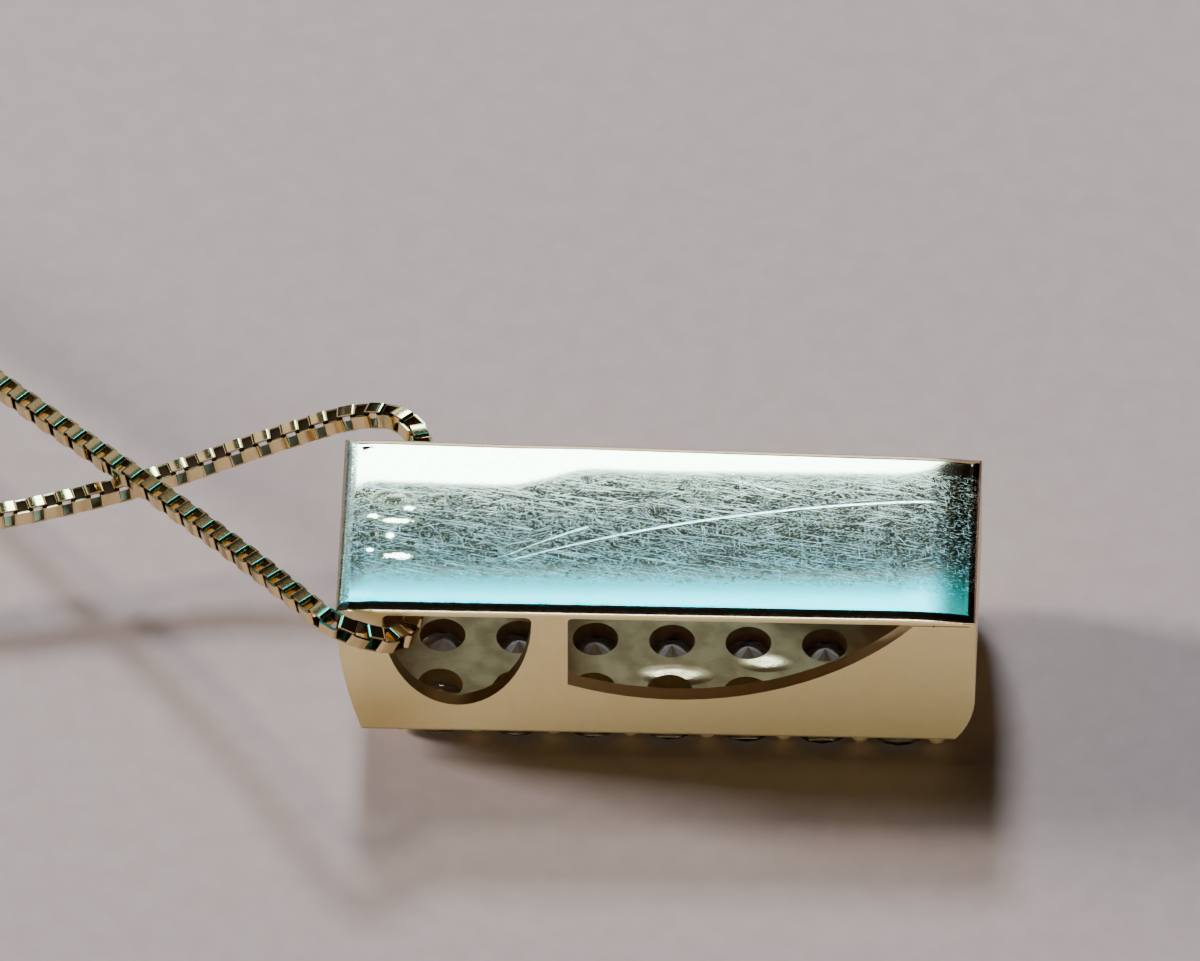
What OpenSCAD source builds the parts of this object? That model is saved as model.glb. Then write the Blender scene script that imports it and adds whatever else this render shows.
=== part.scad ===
// A slide pendant: a gold box set with three rows of stones, lying face down on its stones,
// with a fine box chain that passes crosswise through the windows at one end.
// X runs along the pendant, the chain leaves towards -X, and Z = 0 is the surface it lies on.

/* [Box] */
// Length of the pendant along X
box_l = 20; // [19.5:0.1:20.5]
// Width across the back plate at mid length
box_w = 7.2; // [7:0.1:7.4]
// How much narrower the foot is than the slide end
taper = 0.4; // [0:0.1:0.6]
// Depth from the front plate's face to the back plate's face
box_d = 5.5; // [5.3:0.1:5.7]
// Thickness of the side and end walls
wall = 0.5; // [0.4:0.05:0.6]
// Thickness of the back plate
back_t = 0.32; // [0.26:0.02:0.34]
// Thickness of the front plate that the stones are set over
front_t = 0.6; // [0.5:0.05:0.7]
// Rounding along the edges of the back plate
back_edge_r = 0.3; // [0.2:0.05:0.4]
// Rounding along the edges of the front plate
front_edge_r = 0.15; // [0.1:0.05:0.2]
// Radius of the slow curve of the slide end, seen from the side
slide_end_r = 18.6; // [16:0.2:24]
// Radius of the foot's rounded front corner, seen from the side
foot_end_r = 3; // [2.8:0.1:3.4]
// Depth of the foot's upright stretch, below the back plate's face
foot_upright = 3.6; // [3.4:0.05:3.7]

/* [Windows] */
// Gold left between the back plate's face and the top of each window
rail = 0.38; // [0.34:0.02:0.5]
// Centre of the chain window along X
chain_win_x = -6.2; // [-6.4:0.1:-6]
// Half width of the chain window
chain_win_a = 2.33; // [2.2:0.05:2.4]
// Depth of the chain window below its rounded top corners
chain_win_b = 3.7; // [3.5:0.05:3.8]
// Radius of the chain window's top corners
chain_win_corner = 0.21; // [0.15:0.02:0.25]
// Left edge of the long window
long_win_x = -2.74; // [-3:0.05:-2.5]
// Radius of the long window's bowed lower edge
long_win_r = 9.8; // [9:0.1:11]
// Centre of that bow along X
long_win_cx = 0.6; // [0.2:0.1:1]
// Greatest depth of the long window
long_win_d = 3.5; // [3.3:0.05:3.6]
// Radius of the long window's top left corner
long_win_corner = 0.16; // [0.1:0.02:0.2]

/* [Stones] */
// Diameter of each stone's girdle
stone_d = 2.1; // [1.9:0.05:2.15]
// Stones in each row
columns = 7; // [5:1:7]
// Number of rows
rows = 3; // [3:1:3]
// Distance between stones along a row
column_pitch = 2.4; // [2.3:0.05:2.4]
// Distance between rows
row_pitch = 2.2; // [2.2:0.05:2.25]
// Middle of the rows along X
stones_x = 0.4; // [0.2:0.1:0.6]
// Height of a stone's crown
crown_h = 0.33; // [0.28:0.01:0.36]
// Thickness of its girdle
girdle_h = 0.04; // [0.03:0.01:0.06]
// Depth of its pavilion
pavilion_h = 0.9; // [0.85:0.01:0.95]
// Width of the table as a share of the stone's diameter
table_share = 0.57; // [0.53:0.01:0.6]
// How far the stones stand out of the front plate's face
stone_proud = 0.85; // [0.8:0.05:0.9]
// Radius of a claw
claw_r = 0.33; // [0.3:0.01:0.35]
// Height of a claw's tip over the stones' tables
claw_tip_z = 0.1; // [0.06:0.02:0.14]
// Radius of the light hole behind a stone
light_hole_r = 0.72; // [0.6:0.02:0.8]

/* [Chain] */
// Width of the box chain across its flats
chain_w = 0.7; // [0.66:0.02:0.72]

/* [Clasp] */
// Outer diameter of the ring clasp
clasp_d = 5.1; // [4.5:0.1:6]
// Thickness of the ring's wire
clasp_wire = 0.9; // [0.7:0.1:1]
// Outer diameter of the eye at each side
eye_d = 1.7; // [1.5:0.1:2]
// Thickness of an eye's wire
eye_wire = 0.5; // [0.4:0.05:0.6]

/* [Hidden] */
$fn = 48;
eps = 0.01;
front_z = stone_proud;
back_z = front_z + box_d;
taper_angle = atan(taper / 2 / box_l);
stone_r = stone_d / 2;
table_r = stone_r * table_share;
girdle_z = crown_h + girdle_h;
culet_z = girdle_z + pavilion_h;
seat_gap = 0.03;
far_out = 40;
facets = 8;
// A stone's star tips lie a little inside the straight line from table to girdle
star_inset = 0.02;
star_share = 0.52;
// Where the long facets of the pavilion end, as shares of its radius and depth
half_share = 0.24;
half_rise = 0.26;
// Segments of the large circles and steps of the chain window's half ellipse
large_fn = 180;
ellipse_steps = 28;

foot_curve_z = back_z - foot_upright;
chain_win_top = back_z - rail;
long_win_cz = chain_win_top - long_win_d + long_win_r;

stone_rows = [for (r = [1 : rows]) r];
stone_columns = [for (c = [1 : columns]) c];

gold = [0.80, 0.64, 0.36];
pale_gold = [0.86, 0.72, 0.45];
stone_colour = [0.88, 0.92, 0.96];

// The chain's route from one eye of the clasp, along the surface, in at the far window,
// out at the near one, over its own first strand and round to the clasp's other eye
route = [
    [-158, 55.5, 0.35], [-159.4, 49, 0.35], [-159.6, 41.5, 0.35], [-156.8, 26.5, 0.35],
    [-148.7, 12.5, 0.35], [-136.3, 2, 0.35], [-122.5, -3, 0.35], [-108, -4, 0.35],
    [-85, -2.2, 0.35], [-60, -0.2, 0.55], [-40, 1.8, 1.35], [-32, 2.1, 2.1],
    [-27, 2.4, 2.5], [-24, 2.8, 2.7], [-20.9, 3.3, 2.9], [-19, 3.8, 3],
    [-16.8, 4.45, 3.2], [-15.2, 5, 3.4], [-13.5, 5.55, 3.75], [-11.5, 6, 4.3],
    [-10.3, 6.25, 4.6], [-9.2, 6.2, 4.9], [-8.4, 5.85, 5.1], [-7.8, 5.15, 5.15],
    [-7.6, 4.2, 5.15], [-7.6, 3, 5.15], [-7.6, 0, 5.1], [-7.6, -2.6, 5.12],
    [-7.75, -3.6, 5.2], [-8.3, -4.3, 5.5], [-9.2, -4.55, 5.95], [-10.1, -4.4, 6.3],
    [-11, -3.4, 6.15], [-12.75, -0.95, 5.45], [-14.4, 1.15, 4.9], [-16.2, 3.3, 4.4],
    [-17.8, 5, 4.1], [-19.4, 6.7, 3.8], [-21, 8.45, 3.5], [-24, 11.65, 3],
    [-27.5, 15.6, 2.4], [-32, 20.9, 1.65], [-37, 26.9, 1], [-50, 42, 0.4],
    [-63, 57, 0.35], [-78, 73.7, 0.35], [-89.5, 83, 0.35], [-105, 88.6, 0.35],
    [-121, 88.6, 0.35], [-136.5, 83, 0.35], [-148.7, 72.5, 0.35], [-155, 63.1, 0.35]];

// A stretch between two points gets a ring at its start, and a long one gets one midway
long_stretch = 7;
function rings_in(a, b) = norm(b - a) > long_stretch ? 2 : 1;

// Smooth curve through the points: before, a, b and after give the place between a and b
function smooth(before, a, b, after, t) =
    a + t / 2 * ((b - before) + t * ((2 * before - 5 * a + 4 * b - after)
    + t * (3 * (a - b) + after - before)));
function route_point(i) =
    i < 0 ? 2 * route[0] - route[1]
    : i >= len(route) ? 2 * route[len(route) - 1] - route[len(route) - 2]
    : route[i];
centres = concat(
    [for (i = [0 : len(route) - 2], k = [0 : rings_in(route[i], route[i + 1]) - 1])
        smooth(route_point(i - 1), route[i], route[i + 1], route_point(i + 2),
            k / rings_in(route[i], route[i + 1]))],
    [route[len(route) - 1]]);

// One ring of the tube: flats below, above and at the sides
sides = 8;
tube_r = chain_w / 2 / cos(180 / sides);
function unit(v) = v / norm(v);
function ring(i) =
    let (last = len(centres) - 1,
        along = unit(centres[min(i + 1, last)] - centres[max(i - 1, 0)]),
        across = unit(cross(along, [0, 0, 1])),
        up = cross(across, along))
    [for (k = [0 : sides - 1])
        let (turn = (k + 0.5) * 360 / sides)
        centres[i] + tube_r * (cos(turn) * across + sin(turn) * up)];

// A half ellipse hung from its flat top, with n straight steps
function half_ellipse(a, b, n) =
    [for (k = [0 : n]) [a * cos(180 * k / n), -b * sin(180 * k / n)]];

// Side view of the box, X to the right and 2D Y up: inset from its ends, between two heights
module side_outline(inset, low, high, top_r) {
    intersection() {
        union() {
            translate([-box_l / 2 + inset, low])
                square([box_l - 2 * inset, high - low - top_r]);
            translate([-box_l / 2 + inset + top_r, low])
                square([box_l - 2 * (inset + top_r), high - low]);
            for (side = [-1, 1])
                translate([side * (box_l / 2 - inset - top_r), high - top_r])
                    circle(top_r);
        }
        translate([-box_l / 2 + slide_end_r, back_z])
            circle(slide_end_r - inset, $fn = large_fn);
        union() {
            translate([box_l / 2 - foot_end_r, foot_curve_z])
                circle(foot_end_r - inset, $fn = large_fn);
            translate([-far_out, foot_curve_z]) square([2 * far_out, far_out]);
            translate([-far_out, -far_out])
                square([far_out + box_l / 2 - foot_end_r, 3 * far_out]);
        }
    }
}

// Everything inside one long side, with rounded edges along the back and the front
module side_slab(side, inset, low_r, high_r) {
    reach = box_w / 2 - inset;
    rotate([0, 0, -side * taper_angle])
        rotate([90, 0, 90])
            linear_extrude(height = far_out, center = true)
                scale([side, 1])
                    union() {
                        translate([-far_out, front_z]) square([far_out + reach - high_r, box_d]);
                        translate([-far_out, front_z + low_r])
                            square([far_out + reach, box_d - low_r - high_r]);
                        translate([reach - high_r, back_z - high_r]) circle(high_r);
                        translate([reach - low_r, front_z + low_r]) circle(low_r);
                    }
}

module outer_box() {
    intersection() {
        rotate([90, 0, 0])
            linear_extrude(height = far_out, center = true)
                side_outline(0, front_z, back_z, back_edge_r);
        side_slab(-1, 0, front_edge_r, back_edge_r);
        side_slab(1, 0, front_edge_r, back_edge_r);
    }
}

module cavity() {
    intersection() {
        rotate([90, 0, 0])
            linear_extrude(height = far_out, center = true)
                side_outline(wall, front_z + front_t, back_z - back_t, eps);
        side_slab(-1, wall, eps, eps);
        side_slab(1, wall, eps, eps);
    }
}

module chain_window() {
    corner_z = chain_win_top - chain_win_corner;
    translate([chain_win_x, corner_z]) {
        polygon(half_ellipse(chain_win_a, chain_win_b, ellipse_steps));
        for (side = [-1, 1])
            translate([side * (chain_win_a - chain_win_corner), 0]) circle(chain_win_corner);
        translate([-chain_win_a + chain_win_corner, 0])
            square([2 * (chain_win_a - chain_win_corner), chain_win_corner]);
    }
}

module long_window() {
    intersection() {
        translate([long_win_cx, long_win_cz]) circle(long_win_r, $fn = large_fn);
        union() {
            translate([long_win_x, front_z])
                square([box_l, box_d - rail - long_win_corner]);
            translate([long_win_x + long_win_corner, front_z]) square([box_l, box_d - rail]);
            translate([long_win_x + long_win_corner, chain_win_top - long_win_corner])
                circle(long_win_corner);
        }
    }
}

// Both windows go straight through the two long walls
module windows() {
    rotate([90, 0, 0])
        linear_extrude(height = 2 * box_w, center = true) {
            chain_window();
            long_window();
        }
}

function column_x(c) = stones_x + (c - (columns + 1) / 2) * column_pitch;
function row_y(r) = (r - (rows + 1) / 2) * row_pitch;

// A stone's own room: its form with a little clearance, taken out of the claws
module seat() {
    room_r = stone_r + seat_gap;
    rotate_extrude()
        polygon([
            [0, -eps], [table_r + seat_gap, -eps], [room_r, crown_h - seat_gap],
            [room_r, girdle_z + seat_gap], [0, culet_z + seat_gap]]);
}

module claw() {
    translate([0, 0, claw_tip_z + claw_r]) {
        sphere(claw_r);
        cylinder(r = claw_r, h = front_z + front_t / 2 - claw_tip_z - claw_r);
    }
}

// Claws stand in pairs between neighbouring stones and at the ends of each row
module claws() {
    for (r = stone_rows, c = [0 : columns], side = [-1, 1])
        translate([column_x(c + 0.5), row_y(r) + side * row_pitch / 4, 0]) claw();
}

module frame() {
    color(gold)
        difference() {
            union() {
                difference() {
                    outer_box();
                    cavity();
                    windows();
                    for (r = stone_rows, c = stone_columns)
                        translate([column_x(c), row_y(r), front_z - eps])
                            cylinder(r = light_hole_r, h = front_t + 2 * eps);
                }
                claws();
            }
            for (r = stone_rows, c = stone_columns)
                translate([column_x(c), row_y(r), 0]) seat();
        }
}

// Round brilliant lying on its table. Rings of corners: table, star tips, upper girdle,
// lower girdle, the tips of the pavilion's lower halves, and the culet
function ring_of(n, radius, z, turn) =
    [for (k = [0 : n - 1])
        let (angle = 360 * (k + turn) / n)
        [radius * cos(angle), radius * sin(angle), z]];

module stone(r, c) {
    star_r = (table_r + stone_r) / 2 - star_inset;
    star_z = crown_h * star_share;
    half_r = stone_r * half_share;
    half_z = culet_z - pavilion_h * half_rise;
    girdle_n = 2 * facets;
    points = concat(
        ring_of(facets, table_r, 0, 0),
        ring_of(facets, star_r, star_z, 0.5),
        ring_of(girdle_n, stone_r, crown_h, 0),
        ring_of(girdle_n, stone_r, girdle_z, 0),
        ring_of(facets, half_r, half_z, 0.5),
        [[0, 0, culet_z]]);
    star = facets;
    upper = 2 * facets;
    lower = upper + girdle_n;
    half = lower + girdle_n;
    culet = half + facets;
    faces = concat(
        [[for (k = [0 : facets - 1]) k]],
        [for (k = [0 : facets - 1]) [k, star + k, (k + 1) % facets]],
        [for (k = [0 : facets - 1])
            [k, star + (k + facets - 1) % facets, upper + 2 * k]],
        [for (k = [0 : facets - 1]) [k, upper + 2 * k, star + k]],
        [for (k = [0 : facets - 1]) [star + k, upper + 2 * k, upper + 2 * k + 1]],
        [for (k = [0 : facets - 1])
            [star + k, upper + 2 * k + 1, upper + (2 * k + 2) % girdle_n]],
        [for (k = [0 : girdle_n - 1])
            [upper + k, lower + k, lower + (k + 1) % girdle_n, upper + (k + 1) % girdle_n]],
        [for (k = [0 : facets - 1]) [lower + 2 * k, half + k, lower + 2 * k + 1]],
        [for (k = [0 : facets - 1])
            [lower + 2 * k + 1, half + k, lower + (2 * k + 2) % girdle_n]],
        [for (k = [0 : facets - 1])
            [lower + 2 * k, half + (k + facets - 1) % facets, culet]],
        [for (k = [0 : facets - 1]) [lower + 2 * k, culet, half + k]]);
    color(stone_colour)
        translate([column_x(c), row_y(r), 0]) polyhedron(points, faces);
}

module chain() {
    count = len(centres);
    points = [for (i = [0 : count - 1]) each ring(i)];
    faces = concat(
        [[for (k = [0 : sides - 1]) k]],
        [[for (k = [sides - 1 : -1 : 0]) (count - 1) * sides + k]],
        [for (i = [0 : count - 2], k = [0 : sides - 1])
            [i * sides + k, (i + 1) * sides + k,
                (i + 1) * sides + (k + 1) % sides, i * sides + (k + 1) % sides]]);
    color(pale_gold) polyhedron(points, faces);
}

// A plain ring with an eye soldered on at each side, set between the chain's two ends
module clasp() {
    first = route[0];
    last = route[len(route) - 1];
    middle = (first + last) / 2;
    along = last - first;
    ring_r = (clasp_d - clasp_wire) / 2;
    eye_r = (eye_d - eye_wire) / 2;
    end_gap = 0.05;
    eye_x = norm(along) / 2 - end_gap - eye_d / 2;
    color(gold)
        translate([middle[0], middle[1], 0])
            rotate([0, 0, atan2(along[1], along[0])]) {
                translate([0, 0, clasp_wire / 2])
                    rotate_extrude() translate([ring_r, 0]) circle(clasp_wire / 2);
                for (side = [-1, 1])
                    translate([side * eye_x, 0, chain_w / 2])
                        rotate_extrude() translate([eye_r, 0]) circle(eye_wire / 2);
            }
}

frame();
for (r = stone_rows, c = stone_columns)
    stone(r, c);
chain();
clasp();
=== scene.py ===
# %% [markdown]
# A gold slide pendant lies face down on its stones, with a fine box chain through its windows.
# The construction is already settled by the packed frame: every solid has its real size and
# place. This lesson only dresses it. The gold box gets softened edges and a worn back plate,
# the chain gets its real links, and every metal and stone gets a finish.

# %% Load the frame
import math

import bmesh
import bpy
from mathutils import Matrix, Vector


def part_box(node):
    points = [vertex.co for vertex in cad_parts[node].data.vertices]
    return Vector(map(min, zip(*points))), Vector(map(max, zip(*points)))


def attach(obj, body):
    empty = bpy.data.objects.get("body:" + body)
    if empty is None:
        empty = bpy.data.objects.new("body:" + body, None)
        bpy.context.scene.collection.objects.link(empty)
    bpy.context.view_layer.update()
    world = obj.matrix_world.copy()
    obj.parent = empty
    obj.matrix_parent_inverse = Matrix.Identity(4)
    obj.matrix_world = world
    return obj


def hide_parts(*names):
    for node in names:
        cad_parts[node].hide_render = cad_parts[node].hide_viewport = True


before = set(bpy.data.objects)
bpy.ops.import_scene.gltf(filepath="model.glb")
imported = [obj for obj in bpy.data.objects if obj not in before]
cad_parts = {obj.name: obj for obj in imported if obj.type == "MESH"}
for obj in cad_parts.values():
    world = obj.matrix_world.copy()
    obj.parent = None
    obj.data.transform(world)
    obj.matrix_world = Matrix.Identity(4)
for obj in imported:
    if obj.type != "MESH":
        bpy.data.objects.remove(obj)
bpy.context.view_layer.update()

MM = 0.001
print("nodes in the frame:", len(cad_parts))

# %% [markdown]
# The real object is small, so all sizes below are in millimetres and are turned into metres
# where a mesh is made. The main sizes of the box come from the frame itself, so nothing has to
# be fitted afterwards: the back plate's face is the top of the node named frame.

# %% Measure the gold box in the frame
box_low, box_high = (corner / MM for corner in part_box("frame"))
plate_z = box_high.z
half_length = box_high.x
print("back plate at", round(plate_z, 3), "mm, half length", round(half_length, 3), "mm")

# %% [markdown]
# The camera looks down at 45 degrees, almost along the pendant's width, from far away with a
# long lens, as a close-up taken from a distance would. A long lens keeps parallel edges
# parallel, which is what makes the flat plate look like a plain strip in the picture.

# %% Set up the camera
camera_turn = math.radians(2.1)
camera_tilt = math.radians(45)
picture_width = 37.85
picture_centre = Vector((-2.17, 8.48, 0))
sensor = 36
lens = 1200
toward_camera = Vector((
    math.sin(camera_turn) * math.cos(camera_tilt),
    -math.cos(camera_turn) * math.cos(camera_tilt),
    math.sin(camera_tilt)))
camera_data = bpy.data.cameras.new("long_lens")
camera_data.sensor_width = sensor
camera_data.lens = lens
camera_data.clip_start = 0.05
camera_data.clip_end = 20
camera = bpy.data.objects.new("camera", camera_data)
camera.location = (picture_centre + toward_camera * picture_width * lens / sensor) * MM
camera.rotation_mode = "QUATERNION"
camera.rotation_quaternion = (-toward_camera).to_track_quat("-Z", "Y")
bpy.context.scene.collection.objects.link(camera)
bpy.context.scene.camera = camera
print("camera distance:", round(camera.location.length, 3), "m")

# %% [markdown]
# Finishes are shader trees, and long trees are hard to read as lists of nodes and links. One
# small class wraps a socket, so that ordinary arithmetic adds the Math nodes. Everything else
# comes from one method that takes a node's type, its settings and its values or links. A few
# nodes use one name for several sockets, and those sockets are taken by their number.

# %% A socket that arithmetic works on
class Wire:
    """An output socket that Python arithmetic works on. Each operator adds one Math node."""

    def __init__(self, sheet, socket):
        self.sheet = sheet
        self.socket = socket

    def calc(self, operation, *values):
        return self.sheet.add("ShaderNodeMath", {"operation": operation}, values)

    def __add__(self, other):
        return self.calc("ADD", self, other)

    def __sub__(self, other):
        return self.calc("SUBTRACT", self, other)

    def __rsub__(self, other):
        return self.calc("SUBTRACT", other, self)

    def __mul__(self, other):
        return self.calc("MULTIPLY", self, other)

    def __truediv__(self, other):
        return self.calc("DIVIDE", self, other)

    def __abs__(self):
        return self.calc("ABSOLUTE", self)

    __radd__ = __add__

    def most(self, other):
        return self.calc("MAXIMUM", self, other)

    def rise(self, low, high):
        """0 below low and 1 above high, with a smooth step between. Low may be the larger."""
        return self.sheet.add(
            "ShaderNodeMapRange", {"interpolation_type": "SMOOTHSTEP"},
            {"Value": self, "From Min": low, "From Max": high})


def strongest(wires):
    """The largest of several wires."""
    first, *others = wires
    for wire in others:
        first = first.most(wire)
    return first


print("a wire can:", ", ".join(name for name in vars(Wire) if not name.startswith("_")))

# %% Trees and finishes
object_output = 3
attribute_factor = 2
colour_a, colour_b, colour_output = 6, 7, 2
seed_shift = (7.3, 3.1, 1.7)


class Sheet:
    """A node tree, and the one method that adds a node to it."""

    def __init__(self, tree):
        self.tree = tree

    def add(self, kind, settings=None, values=(), out=0):
        node = self.tree.nodes.new(kind)
        for name, value in (settings or {}).items():
            setattr(node, name, value)
        pairs = values.items() if isinstance(values, dict) else enumerate(values)
        for key, value in pairs:
            if isinstance(value, Wire):
                self.tree.links.new(value.socket, node.inputs[key])
            else:
                node.inputs[key].default_value = value
        return Wire(self, node.outputs[out]) if node.outputs else None


class Finish(Sheet):
    """A material. Patterns read Object coordinates in millimetres, so they never slide."""

    def __init__(self, name):
        self.material = bpy.data.materials.new(name)
        self.material.use_nodes = True
        super().__init__(self.material.node_tree)
        self.tree.nodes.clear()
        metres = self.add("ShaderNodeTexCoord", out=object_output)
        self.place = self.add(
            "ShaderNodeVectorMath", {"operation": "SCALE"}, {"Vector": metres, "Scale": 1 / MM})

    def axes(self):
        return [self.add("ShaderNodeSeparateXYZ", {}, [self.place], out=i) for i in range(3)]

    def noise(self, scale, detail=2.0, roughness=0.5, vector=None):
        return self.add(
            "ShaderNodeTexNoise", {},
            {"Vector": vector or self.place, "Scale": scale, "Detail": detail,
             "Roughness": roughness})

    def stretched(self, angle, length, width, seed):
        """The place turned about Z and squeezed, so that a noise becomes streaks."""
        turned = self.add(
            "ShaderNodeVectorRotate", {"rotation_type": "Z_AXIS"},
            {"Vector": self.place, "Angle": math.radians(angle)})
        return self.add(
            "ShaderNodeMapping", {},
            {"Vector": turned, "Location": [seed * shift for shift in seed_shift],
             "Scale": (1 / length, 1 / width, 1 / width)})

    def mix(self, factor, first, second):
        return self.add(
            "ShaderNodeMix", {"data_type": "RGBA"},
            {0: factor, colour_a: first, colour_b: second}, out=colour_output)

    def bump(self, height, distance):
        """A normal from a height. Distance is the millimetres that a height of 1 stands for."""
        return self.add(
            "ShaderNodeBump", {},
            {"Height": height, "Strength": 1.0, "Distance": distance * MM})

    def close(self, values):
        """Ends the tree in one Principled BSDF with these values, and returns the material."""
        surface = self.add("ShaderNodeBsdfPrincipled", {}, values)
        self.add("ShaderNodeOutputMaterial", {}, {"Surface": surface})
        return self.material


print("a finish can:", ", ".join(name for name in vars(Finish) if not name.startswith("_")))

# %% [markdown]
# The studio is a pale floor and a few soft boxes. Polished gold is only as good as what it
# mirrors, so the lights are placed by the angle at which the back plate sends them to the
# camera. Three lamps light the floor: two behind the pendant and one at its left, each with its
# own soft shadow. The other cards only show in the metal, so they brighten gold without lifting
# the shadows. The steps of sky above the bright band turn the near edge of the plate blue.

# %% Make the floor
floor_size = 900
warm_white = (0.61, 0.505, 0.485, 1)
pale_white = (0.65, 0.54, 0.52, 1)
floor_finish = Finish("pale_floor")
floor_grain = floor_finish.noise(1.1, 4.0)
floor_material = floor_finish.close({
    "Base Color": floor_finish.mix(floor_grain.rise(0.3, 0.7), warm_white, pale_white),
    "Roughness": 0.9,
    "Specular IOR Level": 0.0})
floor_mesh = bpy.data.meshes.new("floor")
reach = floor_size / 2 * MM
floor_mesh.from_pydata(
    [(-reach, -reach, 0), (reach, -reach, 0), (reach, reach, 0), (-reach, reach, 0)],
    [], [(0, 1, 2, 3)])
floor_mesh.materials.append(floor_material)
floor = bpy.data.objects.new("floor", floor_mesh)
bpy.context.scene.collection.objects.link(floor)
print("floor:", floor_size, "mm wide")

# %% Place the lights
lamp_distance = 0.6
lamps = [
    # name, left, elevation, width, height, radiance, colour, seen by
    ("low_window", 10.5, 45, 9, 8, 86, (0.72, 0.84, 1.0), "floor"),
    ("side_window", 79, 17, 12, 16, 80, (1.0, 0.97, 0.94), "floor"),
    ("high_lamp", 17, 61, 9, 9, 30, (1.0, 0.93, 0.84), "floor"),
    ("bright_band", 3.5, 33.7, 15, 10.4, 18, (0.58, 0.95, 1.0), "metal"),
    ("olive_card", 18.2, 34, 14.6, 20, 0.04, (1.0, 0.88, 0.55), "metal"),
    ("left_card", 32.5, 34, 14, 20, 0.9, (1.0, 0.94, 0.88), "metal"),
    ("left_glow", 45, 33, 11, 14, 3, (0.45, 1.0, 0.90), "metal"),
    ("back_wall", -11, 12, 38, 22, 1.6, (1.0, 0.93, 0.84), "metal"),
    ("front_card", 180, 3.5, 90, 7, 9.5, (1.0, 0.97, 0.80), "metal")]
sky_left, sky_wide = 18.5, 43
grey_sky, blue_sky = (0.66, 0.80, 0.88), (0.0, 0.61, 1.0)
sky_steps = [
    # elevation, height, radiance, colour
    (44.5, 11, 0.10, grey_sky), (52, 4, 0.15, grey_sky), (55, 2, 0.7, grey_sky),
    (57, 2, 3.4, blue_sky), (60.5, 5, 10.5, blue_sky)]
room_colour = (0.90, 0.76, 0.58, 1)
room_strength = 0.01


def toward(left, up):
    """Unit vector to a light: left of the way behind the pendant, and up from the floor."""
    left, up = math.radians(left), math.radians(up)
    return Vector((-math.sin(left) * math.cos(up), math.cos(left) * math.cos(up), math.sin(up)))


def softbox(name, left, up, wide, high, radiance, colour, seen_by):
    """A rectangular lamp. Wide and high are in degrees as the pendant sees them."""
    data = bpy.data.lights.new(name, "AREA")
    data.shape = "RECTANGLE"
    data.size = 2 * lamp_distance * math.tan(math.radians(wide / 2))
    data.size_y = 2 * lamp_distance * math.tan(math.radians(high / 2))
    data.energy = radiance * math.pi * data.size * data.size_y
    data.color = colour
    lamp = bpy.data.objects.new(name, data)
    lamp.location = toward(left, up) * lamp_distance
    lamp.rotation_mode = "QUATERNION"
    lamp.rotation_quaternion = (-toward(left, up)).to_track_quat("-Z", "Y")
    lamp.visible_camera = False
    lamp.visible_diffuse = seen_by != "metal"
    lamp.visible_glossy = seen_by != "floor"
    lamp.visible_transmission = seen_by != "floor"
    bpy.context.scene.collection.objects.link(lamp)
    print(name, "power", round(data.energy, 2), "W")


for lamp in lamps:
    softbox(*lamp)
for up, high, radiance, colour in sky_steps:
    softbox("sky_" + str(round(up)), sky_left, up, sky_wide, high, radiance, colour, "metal")

world = bpy.data.worlds.new("dim_room")
world.use_nodes = True
background = world.node_tree.nodes["Background"]
background.inputs["Color"].default_value = room_colour
background.inputs["Strength"].default_value = room_strength
bpy.context.scene.world = world

# %% [markdown]
# The walls are yellow gold with a satin grain: a soft, slightly blotchy reflection. Under the
# back plate a fine seam shows near the foot, with one small nick in it. The lower corner at
# the slide end is darkened with painted shade.

# %% Satin gold of the walls
yellow_gold = (0.92, 0.77, 0.43, 1)
red_gold = (0.86, 0.69, 0.36, 1)
corner_shade_gold = (0.50, 0.36, 0.14, 1)
seam_brown = (0.10, 0.06, 0.02, 1)
seam_depth = 0.42
seam_start = 7.9
nick_x = 8.7
outer_face = (3.3, 3.4)
shaded_corner_x = (-5.5, -9.6)
shaded_corner_z = (4.4, 1.0)


def satin_gold():
    finish = Finish("satin_gold")
    x, y, z = finish.axes()
    blotches = finish.noise(1.3, 3.0)
    grain = finish.noise(22.0, 3.0, 0.7)
    streaks = finish.noise(1.0, 2.0, vector=finish.stretched(4, 1.6, 0.05, 3))
    seam_z = plate_z - seam_depth
    outside = abs(y).rise(*outer_face)
    along_seam = x.rise(seam_start, seam_start + 0.2) * x.rise(half_length - 0.1, half_length - 0.3)
    seam = abs(z - seam_z).rise(0.035, 0.01) * along_seam * outside
    nick = (abs(x - nick_x) + abs(z - seam_z) * 1.4).rise(0.11, 0.05) * outside
    flaws = seam.most(nick)
    colour = finish.mix(blotches.rise(0.35, 0.7) * 0.6, yellow_gold, red_gold)
    # Painted shade: the lower corner at the slide end is darkened in the colour.
    shade = x.rise(*shaded_corner_x) * z.rise(*shaded_corner_z)
    colour = finish.mix(shade * 0.75, colour, corner_shade_gold)
    relief = grain * 0.5 + streaks * 0.4 - flaws * 6
    return finish.close({
        "Base Color": finish.mix(flaws * 0.8, colour, seam_brown),
        "Metallic": 1.0,
        "Roughness": 0.46 + blotches * 0.10 + flaws * 0.2,
        "Normal": finish.bump(relief, 0.0016)})


satin = satin_gold()
print("finish:", satin.name)
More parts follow.
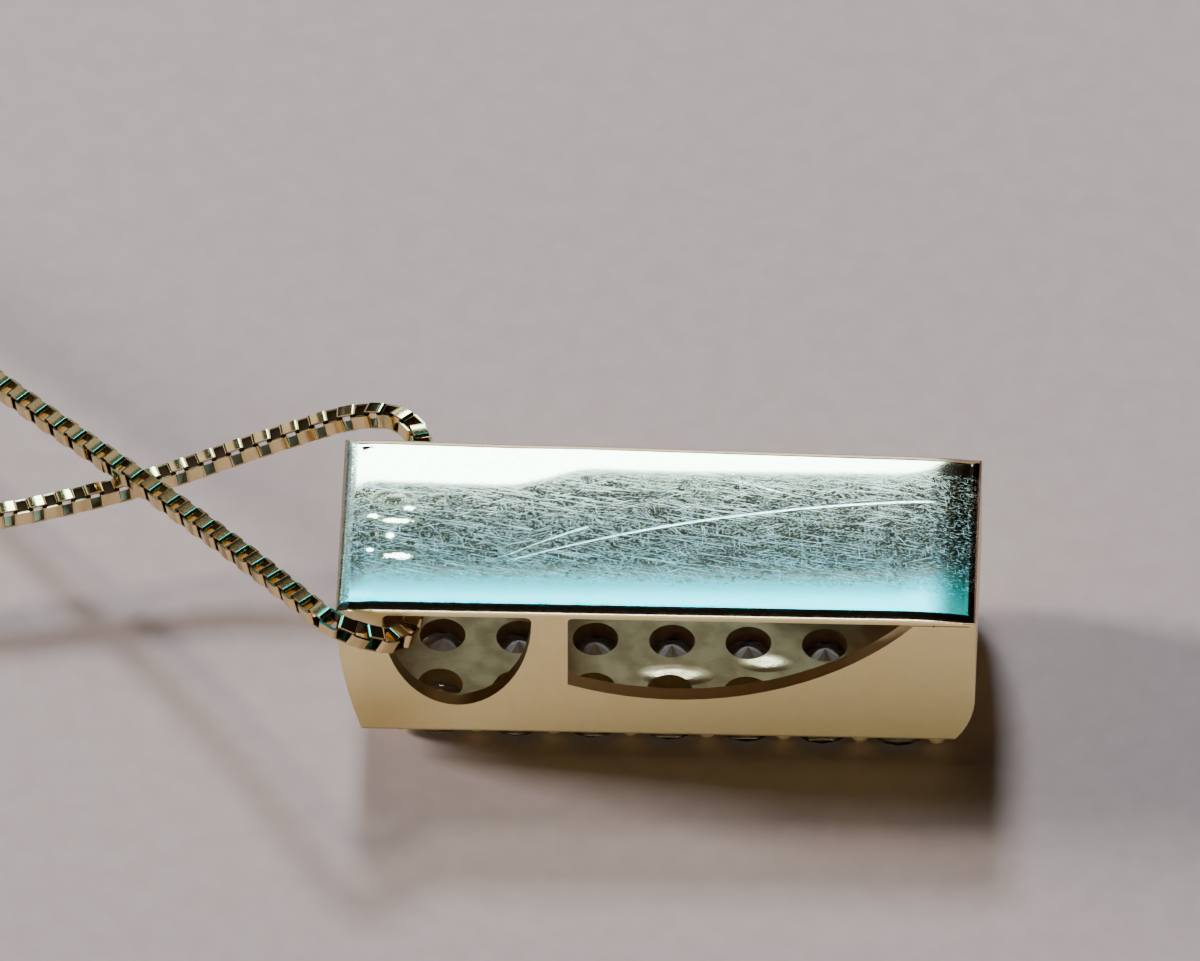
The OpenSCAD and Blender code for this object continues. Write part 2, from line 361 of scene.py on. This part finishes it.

# %% [markdown]
# Nobody polishes the inside of the box. It keeps the dull, red-brown skin of the casting, apart
# from two smooth places behind the long window that lean back a little and catch the bright
# band. The windows' edges are filed, so they are smoother than the skin, and their colour is
# darkened with painted shade.

# %% Dull gold inside the box, and painted shade on the windows' edges
light_skin = (0.58, 0.41, 0.24, 1)
dark_skin = (0.48, 0.32, 0.18, 1)
painted_shade_edge = (0.50, 0.38, 0.18, 1)
smooth_places = [
    # x, y, half length, half width, on the inside of the front
    (0.55, -1.50, 1.30, 0.50),
    (3.35, -0.85, 0.95, 0.45)]
lean = 0.06
floor_zone = (box_low.z + 1.5, box_low.z + 1.4)


def away_from(x, y, middle_x, middle_y, half_long, half_wide):
    """0 in the middle of an ellipse and 1 on its edge."""
    over_x, over_y = (x - middle_x) / half_long, (y - middle_y) / half_wide
    return over_x * over_x + over_y * over_y


def cast_gold():
    finish = Finish("cast_gold")
    x, y, z = finish.axes()
    skin = finish.noise(9.0, 4.0, 0.6)
    soil = finish.noise(1.6, 3.0)
    spots = [away_from(x, y, *place).rise(1.0, 0.1) for place in smooth_places]
    smoothed = strongest(spots) * z.rise(*floor_zone)
    slope = smoothed * lean * y
    return finish.close({
        "Base Color": finish.mix(soil.rise(0.35, 0.7), light_skin, dark_skin),
        "Metallic": 1.0,
        "Roughness": 0.6 + soil * 0.2 - smoothed * 0.45,
        "Normal": finish.bump(skin * 0.008 - slope, 1.0)})


def filed_gold():
    finish = Finish("filed_gold")
    marks = finish.noise(1.0, 2.0, vector=finish.stretched(0, 0.05, 1.5, 9))
    # Painted shade: the colour of the windows' edges is darkened.
    return finish.close({
        "Base Color": painted_shade_edge,
        "Metallic": 1.0,
        "Roughness": 0.30 + marks * 0.1,
        "Normal": finish.bump(marks, 0.002)})


cast = cast_gold()
filed = filed_gold()
print("finishes:", cast.name, filed.name)

# %% [markdown]
# The back plate is the same gold, polished once and worn since, so it has its own finish. Its
# middle is dusty and soiled, its long edges still mirror. Thin streaks in several directions are
# made from stretched noises, because real ones are far too many to model one by one. The three
# deep scratches and the worn marks at the slide end are listed. Each mark is a shallow
# slope without letters, and its tilt decides what it mirrors.

# %% Scratches of the back plate
fine_scratches = [
    # angle, length, width, lower threshold, seed
    (12, 1.5, 0.030, 0.64, 1),
    (-21, 1.1, 0.028, 0.67, 2),
    (48, 0.9, 0.026, 0.67, 3),
    (83, 0.8, 0.030, 0.68, 4),
    (5, 3.0, 0.022, 0.67, 5)]
deep_scratches = [
    # offset, slope, bend, from, to, half width
    (-0.05, 0.285, -0.0125, -5.1, 8.9, 0.055),
    (0.76, 0.32, -0.03, -5.2, -1.9, 0.030),
    (2.97, -0.345, 0.0, 2.1, 4.0, 0.040)]
line_rise = 0.05
line_starts, line_ends = 1.2, 0.7


def fine_lines(finish):
    """Thin streaks, each family from one stretched noise."""
    lines = []
    for angle, length, width, low, seed in fine_scratches:
        streak = finish.noise(1.0, 1.5, vector=finish.stretched(angle, length, width, seed))
        lines.append(streak.rise(low, low + line_rise))
    return strongest(lines)


def deep_lines(x, y):
    """Curved scratches that start thin, grow wider and fade out."""
    lines = []
    for offset, slope, bend, start, end, half in deep_scratches:
        curve = x * slope + x * x * bend + offset
        width = x.rise(start, end) * half + half * 0.5
        line = (abs(y - curve) / width).rise(1, 0)
        lines.append(line * x.rise(start, start + line_starts) * x.rise(end, end - line_ends))
    return strongest(lines)


print(len(fine_scratches), "families of fine scratches,", len(deep_scratches), "deep ones")

# %% Worn marks at the slide end
worn_marks = [
    # x, y, half length, half width, tilt
    (-8.35, 0.90, 0.46, 0.26, 0.02), (-7.85, 0.50, 0.22, 0.11, 0.05),
    (-8.95, 0.12, 0.20, 0.12, 0.10), (-8.20, -0.06, 0.50, 0.12, 0.10),
    (-8.95, -0.68, 0.14, 0.12, 0.05), (-8.40, -0.72, 0.15, 0.13, 0.09),
    (-7.75, -1.00, 0.22, 0.11, 0.02), (-9.00, -1.35, 0.13, 0.09, 0.13),
    (-8.15, -1.58, 0.48, 0.16, 0.15)]
microns = 1000
mark_edge = (1.0, 0.7)
rim_edge = (3.2, 1.6)


def pressed_marks(x, y, wobble):
    """The marks, the soiled rims around them, and their slopes' height in microns."""
    marks, rims, slopes = [], [], []
    for *ellipse, tilt in worn_marks:
        away = away_from(x, y, *ellipse) + wobble
        mark = away.rise(*mark_edge)
        marks.append(mark)
        rims.append(away.rise(*rim_edge))
        slopes.append(mark * (y - ellipse[1]) * (-tilt * microns))
    return strongest(marks), strongest(rims), sum(slopes[1:], slopes[0])


print("worn marks:", len(worn_marks))

# %% Worn polish of the back plate
polished_gold = (0.88, 0.76, 0.52, 1)
pale_polish = (0.88, 0.80, 0.64, 1)
painted_scratch_highlight = (0.97, 0.93, 0.84, 1)
grey_dust = (0.40, 0.37, 0.32, 1)
brown_soil = (0.22, 0.13, 0.05, 1)
foot_painted_dark = (0.12, 0.05, 0.015, 1)
far_band = 1.62
band_step, band_step_x, band_slope = 0.72, (-5.0, -2.3), 0.035
near_band = (-2.75, -2.0)
near_rounding = (-3.2, -3.35)
foot_zone = (8.2, 9.3)
slide_zone = (-9.5, -9.65)


def handled_area(x, y):
    """1 in the middle, which is handled most, and nearly 0 along the bright long edges."""
    far_edge = x.rise(*band_step_x) * band_step + x.most(0.0) * band_slope + far_band
    worn = y.rise(*near_band) * (y - far_edge).rise(0.25, -0.1)
    return worn.most(y.rise(*near_rounding) * 0.5) * 0.95 + 0.05


def worn_polish():
    finish = Finish("worn_polish")
    x, y, z = finish.axes()
    patches = finish.noise(1.1, 2.0)
    mottle = finish.noise(4.5, 5.0, 0.65)
    specks = finish.noise(1.0, 4.0, 0.75, finish.stretched(-18, 0.10, 0.06, 6))
    deep = deep_lines(x, y)
    wobble = (specks - 0.5) * 4 + (mottle - 0.5) * 2
    marks, rims, pressed = pressed_marks(x, y, wobble)
    handled = handled_area(x, y)
    bare = 1 - marks
    rims = rims * bare * mottle.rise(0.35, 0.55)
    dulled = patches.rise(0.35, 0.65)
    foot = x.rise(*foot_zone)
    slide_end = x.rise(*slide_zone) * specks.rise(0.35, 0.55)
    soiled = mottle.rise(0.48, 0.36) * (dulled * 0.6 + 0.3)
    soiled = (soiled * handled).most(rims) * bare
    dusty = (specks + dulled * 0.05).rise(0.54, 0.62) * handled
    dusty = dusty.most(rims).most(slide_end) * bare * (1 - foot * 0.3)
    scratches = fine_lines(finish) * handled * bare
    colour = finish.mix(mottle.rise(0.45, 0.6), polished_gold, pale_polish)
    colour = finish.mix(dusty * 0.85, colour, grey_dust)
    colour = finish.mix(soiled * 0.9, colour, brown_soil)
    # Painted dark reflection: the plate's colour is darkened towards the foot.
    colour = finish.mix(foot * 0.9, colour, foot_painted_dark)
    # The scratches are real relief; their pale colour is a painted highlight.
    colour = finish.mix(scratches.most(deep), colour, painted_scratch_highlight)
    haze = handled * 0.01 + y.rise(-1.0, -2.6) * 0.07 + foot * 0.05 + 0.035
    relief = mottle * 0.02 + scratches * 0.25 + soiled * 0.3 - deep * 4.0 + pressed
    return finish.close({
        "Base Color": colour,
        "Metallic": 1.0,
        "Roughness": (dusty * 0.5).most(scratches * 0.4).most(deep * 0.2).most(haze),
        "Normal": finish.bump(relief, 0.001)})


polish = worn_polish()
print("finish:", polish.name)

# %% [markdown]
# The frame's own mesh has the right shape, but knife-sharp corners. Real cast and filed gold
# never has them: every edge is a little round, and that thin round catches the light. So the
# mesh is copied and cleaned, and only its outer corners and window edges are bevelled. The
# back plate is cut into a fine grid and pressed slightly, because its wear shows in the way
# its reflections bend: down towards its long edges and over at the foot. The far wall's outer
# face, which the camera can't see, moves out by a fifth of a millimetre, so that the plate's
# rounded far edge is as wide as the photo shows it.

# %% The worn form of the back plate
back_edge = 0.3
side_reach = 3.32
side_taper = 0.01
crown = 0.19
flatter_from = -5.2
flatter_to = -2.2
flatter_share = 0.35
flatter_slope = 0.009
foot_wear_x = 7.5
foot_wear = 0.16
foot_edge_share = 0.2
slide_wear_x = 9.1
slide_wear = 0.04
slide_corner = 0.3


def plate_rise(x, y):
    """Height of the worn plate over its own long edges, in millimetres."""
    share = min(abs(y) / (side_reach - side_taper * x), 1)
    step = min(max((x - flatter_from) / (flatter_to - flatter_from), 0), 1)
    flatter = flatter_share * step * step * (3 - 2 * step) + flatter_slope * max(x, 0)
    flatter *= y > 0
    rise = crown * (1 - (1 - flatter) * share ** 2)
    past_foot = min(max(0, x - foot_wear_x) / (half_length - back_edge - foot_wear_x), 1)
    rise -= foot_wear * past_foot ** 2 * (1 - foot_edge_share * share ** 4)
    past_slide = max(0, -x - slide_wear_x + slide_corner * share ** 6)
    past_slide = min(past_slide / (half_length - back_edge - slide_wear_x), 1)
    return rise - slide_wear * past_slide ** 2


print("crown of the plate:", round(plate_rise(0, 0), 3), "mm")

# %% Choose the edges to round
corner_x, corner_y = 8.2, 3.3
corner_top = plate_z - 0.25
corner_bottom = box_low.z + 0.9
window_end = half_length - 0.6
window_top = plate_z - 0.5
outer_rim = (3.3, 3.8)
inner_rim = (2.9, 3.25)
straight_out = 0.98
straight_along = 0.1
mostly_up = 0.5
sharp = 1


def on_long_wall(face):
    return abs(face.normal.y) > straight_out


def is_corner(edge):
    """A vertical outer corner between a long wall and an end wall."""
    a, b = (v.co / MM for v in edge.verts)
    if min(abs(a.x), abs(b.x)) < corner_x or min(abs(a.y), abs(b.y)) < corner_y:
        return False
    if max(a.z, b.z) > corner_top or min(a.z, b.z) < corner_bottom:
        return False
    return abs(a.z - b.z) > mostly_up * (a - b).length and edge.calc_face_angle(0) > sharp


def is_rim(edge, nearest, farthest):
    """A window's edge at this distance from the middle, between a wall and the window's side."""
    if len(edge.link_faces) != 2:
        return False
    if any(not nearest < abs(v.co.y) / MM < farthest for v in edge.verts):
        return False
    walls = [on_long_wall(face) for face in edge.link_faces]
    tunnels = [abs(face.normal.y) < straight_along for face in edge.link_faces]
    inside = all(abs(v.co.x) < window_end * MM for v in edge.verts)
    low = all(v.co.z < window_top * MM for v in edge.verts)
    return any(walls) and any(tunnels) and inside and low and edge.calc_face_angle(0) > sharp


def is_outer_rim(edge):
    return is_rim(edge, *outer_rim)


def is_inner_rim(edge):
    return is_rim(edge, *inner_rim)


print("corners beyond x", corner_x, "mm, windows' edges within x", round(window_end, 2), "mm")

# %% Copy, clean and bevel the gold box
corner_round, corner_segments = 0.16, 3
window_round, window_segments = 0.05, 2
weld_distance = 0.001
flat_enough = math.radians(0.4)


def bevel(mesh, chosen, width, segments):
    edges = [edge for edge in mesh.edges if chosen(edge)]
    bmesh.ops.bevel(
        mesh, geom=edges, offset=width * MM, offset_type="OFFSET", segments=segments,
        profile=0.5, affect="EDGES", clamp_overlap=True)
    print(chosen.__name__, len(edges), "edges")


box_work = bmesh.new()
box_work.from_mesh(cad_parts["frame"].data)
bmesh.ops.remove_doubles(box_work, verts=box_work.verts, dist=weld_distance * MM)
bmesh.ops.dissolve_limit(
    box_work, angle_limit=flat_enough, verts=box_work.verts, edges=box_work.edges)
bevel(box_work, is_corner, corner_round, corner_segments)
bevel(box_work, is_outer_rim, window_round, window_segments)
bevel(box_work, is_inner_rim, window_round, window_segments)
print("faces after the bevels:", len(box_work.faces))

# %% Cut the back plate into a grid and press it
grid_step = 0.1
far_wall_out = 0.22
worn_from = plate_z - 2 * back_edge
rounding_from = plate_z - 1.1 * back_edge
upward = 0.02
snap = 1e-8


def top_parts(mesh):
    """The back plate's face and the rounded edges around it."""
    faces = [
        face for face in mesh.faces
        if face.normal.z > upward and face.calc_center_median().z > rounding_from * MM]
    parts = dict.fromkeys(faces)
    for face in faces:
        parts.update(dict.fromkeys((*face.edges, *face.verts)))
    return list(parts)


def cut(mesh, parts, axis, reach_mm):
    """Cuts these parts across one axis, one cut at each step of the grid."""
    steps = int(reach_mm / grid_step)
    normal = Vector((0, 0, 0))
    normal[axis] = 1
    for step in range(-steps, steps + 1):
        parts = bmesh.ops.bisect_plane(
            mesh, geom=parts, plane_co=normal * step * grid_step * MM,
            plane_no=normal, dist=snap)["geom"]
    return parts


parts = cut(box_work, top_parts(box_work), 1, side_reach)
cut(box_work, parts, 0, half_length)
for vert in box_work.verts:
    height = vert.co.z / MM
    if height > worn_from:
        share = (height - worn_from) / (plate_z - worn_from)
        vert.co.z += share * plate_rise(vert.co.x / MM, vert.co.y / MM) * MM
    past_edge = vert.co.y / MM - side_reach + side_taper * vert.co.x / MM
    vert.co.y += far_wall_out * min(max(past_edge / back_edge, 0), 1) * MM
box_mesh = bpy.data.meshes.new("gold_box")
box_work.to_mesh(box_mesh)
box_work.free()
gold_box = bpy.data.objects.new("gold_box", box_mesh)
bpy.context.scene.collection.objects.link(gold_box)
print("gold box:", len(box_mesh.polygons), "faces")

# %% Give the gold box its finishes and its shading
for finish in (satin, polish, cast, filed):
    box_mesh.materials.append(finish)
inner_x = half_length - 0.42
outer_y = 3.72
inner_low = box_low.z + 0.86
inner_high = plate_z - 0.28
lip_y = 3.13
polish_from = plate_z - 0.35
least_turn = 0.3
smooth_below = math.radians(28)


def finish_of(polygon):
    """0 for satin walls, 1 for the polished back, 2 for the cast inside, 3 for window edges."""
    x, y, z = polygon.center / MM
    if polygon.normal.z > least_turn and z > polish_from:
        return 1
    inside = abs(x) < inner_x and abs(y) < outer_y and inner_low < z < inner_high
    faces_out = polygon.normal.y * y > 0 and abs(polygon.normal.y) > least_turn
    if not inside or faces_out:
        return 0
    return 3 if abs(y) > lip_y else 2


for polygon in box_mesh.polygons:
    polygon.use_smooth = True
    polygon.material_index = finish_of(polygon)
box_mesh.set_sharp_from_angle(angle=smooth_below)
weighted = gold_box.modifiers.new("weighted_normals", "WEIGHTED_NORMAL")
weighted.keep_sharp = True
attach(gold_box, "root")
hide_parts("frame")
print("plate faces:", sum(p.material_index == 1 for p in box_mesh.polygons))

# %% [markdown]
# A box chain is a row of square rings of flat strip, each one turned a quarter from the last
# and closed through its neighbour. A ring has a few dozen faces and there are hundreds of
# them, so the chain is the classic job for Geometry Nodes: one ring, a path, and a point for
# each link. The path is the route on which the frame's own tube lies, point for point.

# %% The chain's route
route = [
    (-158, 55.5, 0.35), (-159.4, 49, 0.35), (-159.6, 41.5, 0.35), (-156.8, 26.5, 0.35),
    (-148.7, 12.5, 0.35), (-136.3, 2, 0.35), (-122.5, -3, 0.35), (-108, -4, 0.35),
    (-85, -2.2, 0.35), (-60, -0.2, 0.55), (-40, 1.8, 1.35), (-32, 2.1, 2.1),
    (-27, 2.4, 2.5), (-24, 2.8, 2.7), (-20.9, 3.3, 2.9), (-19, 3.8, 3),
    (-16.8, 4.45, 3.2), (-15.2, 5, 3.4), (-13.5, 5.55, 3.75), (-11.5, 6, 4.3),
    (-10.3, 6.25, 4.6), (-9.2, 6.2, 4.9), (-8.4, 5.85, 5.1), (-7.8, 5.15, 5.15),
    (-7.6, 4.2, 5.15), (-7.6, 3, 5.15), (-7.6, 0, 5.1), (-7.6, -2.6, 5.12),
    (-7.75, -3.6, 5.2), (-8.3, -4.3, 5.5), (-9.2, -4.55, 5.95), (-10.1, -4.4, 6.3),
    (-11, -3.4, 6.15), (-12.75, -0.95, 5.45), (-14.4, 1.15, 4.9), (-16.2, 3.3, 4.4),
    (-17.8, 5, 4.1), (-19.4, 6.7, 3.8), (-21, 8.45, 3.5), (-24, 11.65, 3),
    (-27.5, 15.6, 2.4), (-32, 20.9, 1.65), (-37, 26.9, 1), (-50, 42, 0.4),
    (-63, 57, 0.35), (-78, 73.7, 0.35), (-89.5, 83, 0.35), (-105, 88.6, 0.35),
    (-121, 88.6, 0.35), (-136.5, 83, 0.35), (-148.7, 72.5, 0.35), (-155, 63.1, 0.35)]
steps_per_stretch = 12


def smooth(before, a, b, after, t):
    """The place a share t of the way from a to b, on the same curve as the frame's tube."""
    second = 2 * before - 5 * a + 4 * b - after
    third = 3 * (a - b) + after - before
    return a + t / 2 * ((b - before) + t * (second + t * third))


def chain_path():
    points = [Vector(point) for point in route]
    ends = [2 * points[0] - points[1], *points, 2 * points[-1] - points[-2]]
    path = [
        smooth(*ends[i:i + 4], step / steps_per_stretch)
        for i in range(len(points) - 1) for step in range(steps_per_stretch)]
    return path + [points[-1]]


path = chain_path()
path_length = sum((b - a).length for a, b in zip(path, path[1:]))
print("chain path:", round(path_length, 1), "mm")

# %% One link of the chain
link_sizes = {
    "Pitch": 0.465,
    "Link Length": 0.655,
    "Link Width": 0.68,
    "Strip Width": 0.47,
    "Strip Thickness": 0.085,
    "Corner Radius": 0.08}
link_roll = math.radians(-7)
crisp_edge = math.radians(60)
corner_steps = 4
inside_margin = -0.25


def one_link(sheet, size):
    """A rounded rectangle of flat strip, with an attribute that is 1 on its inner side."""
    length = size["Link Length"] - size["Strip Thickness"]
    width = size["Link Width"] - size["Strip Thickness"]
    outline = sheet.add(
        "GeometryNodeCurvePrimitiveQuadrilateral", {}, {"Width": length, "Height": width})
    outline = sheet.add(
        "GeometryNodeFilletCurve", {"mode": "POLY"},
        {"Curve": outline, "Count": corner_steps, "Radius": size["Corner Radius"]})
    strip = sheet.add(
        "GeometryNodeCurvePrimitiveQuadrilateral", {},
        {"Width": size["Strip Thickness"], "Height": size["Strip Width"]})
    link = sheet.add("GeometryNodeCurveToMesh", {}, {"Curve": outline, "Profile Curve": strip})
    bend = sheet.add("GeometryNodeInputMeshEdgeAngle")
    link = sheet.add(
        "GeometryNodeSetShadeSmooth", {"domain": "EDGE"},
        {"Geometry": link, "Selection": bend.calc("GREATER_THAN", bend, crisp_edge),
         "Shade Smooth": False})
    place = sheet.add("GeometryNodeInputPosition")
    beside, above = (sheet.add("ShaderNodeSeparateXYZ", {}, [place], out=i) for i in range(2))
    past = (abs(beside) - length * 0.5).most(abs(above) - width * 0.5)
    within = past.calc("LESS_THAN", past, size["Strip Thickness"] * inside_margin)
    return sheet.add(
        "GeometryNodeStoreNamedAttribute", {"data_type": "FLOAT", "domain": "POINT"},
        {"Geometry": link, "Name": "inside", "Value": within})


print("a link:", link_sizes["Link Length"], "by", link_sizes["Link Width"], "mm")

# %% The tree that sets the links on the route
quarter_turn = math.pi / 2


def link_tree(material):
    tree = bpy.data.node_groups.new("box_chain_links", "GeometryNodeTree")
    tree.interface.new_socket("Path", in_out="INPUT", socket_type="NodeSocketGeometry")
    for name in (*link_sizes, "Roll"):
        tree.interface.new_socket(name, in_out="INPUT", socket_type="NodeSocketFloat")
    tree.interface.new_socket("Links", in_out="OUTPUT", socket_type="NodeSocketGeometry")
    sheet = Sheet(tree)
    inputs = tree.nodes.new("NodeGroupInput")
    size = {name: Wire(sheet, inputs.outputs[name]) for name in ("Path", *link_sizes, "Roll")}
    sized = sheet.add(
        "GeometryNodeResampleCurve", {"mode": "LENGTH"},
        {"Curve": size["Path"], "Length": size["Pitch"]})
    level = sheet.add("GeometryNodeSetCurveNormal", {"mode": "Z_UP"}, {"Curve": sized})
    along = sheet.add(
        "FunctionNodeAxesToRotation", {"primary_axis": "X", "secondary_axis": "Y"},
        {"Primary Axis": sheet.add("GeometryNodeInputTangent"),
         "Secondary Axis": sheet.add("GeometryNodeInputNormal")})
    index = sheet.add("GeometryNodeInputIndex")
    angle = index.calc("MODULO", index, 2.0) * quarter_turn + size["Roll"]
    roll = sheet.add(
        "FunctionNodeAxisAngleToRotation", {}, {"Axis": (1, 0, 0), "Angle": angle})
    turned = sheet.add(
        "FunctionNodeRotateRotation", {"rotation_space": "LOCAL"},
        {"Rotation": along, "Rotate By": roll})
    links = sheet.add(
        "GeometryNodeInstanceOnPoints", {},
        {"Points": level, "Instance": one_link(sheet, size), "Rotation": turned})
    solid = sheet.add("GeometryNodeRealizeInstances", {}, {"Geometry": links})
    dressed = sheet.add("GeometryNodeSetMaterial", {}, {"Geometry": solid, "Material": material})
    sheet.add("NodeGroupOutput", {}, {"Links": dressed})
    return tree


print("one link every", link_sizes["Pitch"], "mm, each turned a quarter from the last")

# %% [markdown]
# The links are bright drawn gold. On such small flats the finish shows as a slight change of
# tone from link to link, so the material stays simple. The tree marks the insides of the links
# with an attribute, and the material darkens them with painted shade.

# %% Bright gold of the chain
chain_gold = (0.87, 0.69, 0.36, 1)
chain_red_gold = (0.78, 0.61, 0.30, 1)
painted_link_shade = (0.09, 0.075, 0.045, 1)


def bright_gold():
    finish = Finish("bright_gold")
    tone = finish.noise(1.7, 2.0)
    grain = finish.noise(30.0, 2.0)
    inside = finish.add("ShaderNodeAttribute", {"attribute_name": "inside"}, out=attribute_factor)
    colour = finish.mix(tone.rise(0.35, 0.65), chain_gold, chain_red_gold)
    # Painted shade: the insides of the links are darkened in the colour.
    return finish.close({
        "Base Color": finish.mix(inside, colour, painted_link_shade),
        "Metallic": 1.0,
        "Roughness": 0.10 + grain.rise(0.3, 0.7) * 0.06 + inside * 0.2})


bright = bright_gold()
print("finish:", bright.name)

# %% Make the chain
path_data = bpy.data.curves.new("chain_path", "CURVE")
path_data.dimensions = "3D"
spline = path_data.splines.new("POLY")
spline.points.add(len(path) - 1)
for point, place in zip(spline.points, path):
    point.co = (*(place * MM), 1)
path_object = bpy.data.objects.new("chain_path", path_data)
bpy.context.scene.collection.objects.link(path_object)
tree = link_tree(bright)
modifier = path_object.modifiers.new("links", "NODES")
modifier.node_group = tree
for item in tree.interface.items_tree:
    if item.in_out == "INPUT" and item.name in link_sizes:
        modifier[item.identifier] = link_sizes[item.name] * MM
    if item.in_out == "INPUT" and item.name == "Roll":
        modifier[item.identifier] = link_roll
evaluated = path_object.evaluated_get(bpy.context.evaluated_depsgraph_get())
chain_mesh = bpy.data.meshes.new_from_object(evaluated)
bpy.data.objects.remove(path_object)
box_chain = bpy.data.objects.new("box_chain", chain_mesh)
bpy.context.scene.collection.objects.link(box_chain)
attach(box_chain, "root")
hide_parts("chain")
print("chain:", len(chain_mesh.polygons), "faces")

# %% [markdown]
# The stones and the clasp keep their solids from the frame, because their shapes are right.
# A cut stone is clear and has a high refractive index, so light that enters through one facet
# leaves through another in bright and dark patches. A thin pale grey film is mixed in behind
# the girdle, so that the pointed side looks pale grey.

# %% Finish of the stones
girdle_z = 0.37
clear_white = (0.97, 0.98, 1.0, 1)
clear_grey = (0.93, 0.95, 0.98, 1)
film_grey = (0.80, 0.75, 0.66, 1)
film_roughness = 0.35
stone_index = 2.2


def clear_stone():
    finish = Finish("clear_stone")
    x, y, z = finish.axes()
    haze = finish.noise(2.5, 3.0)
    clear = finish.add("ShaderNodeBsdfPrincipled", {}, {
        "Base Color": finish.mix(haze, clear_white, clear_grey),
        "Roughness": haze.rise(0.5, 0.9) * 0.03,
        "IOR": stone_index,
        "Transmission Weight": 1.0})
    film = finish.add("ShaderNodeBsdfPrincipled", {}, {
        "Base Color": film_grey, "Roughness": film_roughness})
    filmed = z.rise(girdle_z, girdle_z + 0.1) * (haze * 0.4 + 0.45)
    surface = finish.add("ShaderNodeMixShader", {}, [filmed, clear, film])
    finish.add("ShaderNodeOutputMaterial", {}, {"Surface": surface})
    return finish.material


stone_material = clear_stone()
for name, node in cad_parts.items():
    if name.startswith("stone"):
        node.data.materials.clear()
        node.data.materials.append(stone_material)
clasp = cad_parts["clasp"]
clasp.data.materials.clear()
clasp.data.materials.append(bright)
print("stones:", sum(name.startswith("stone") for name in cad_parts))

# %% [markdown]
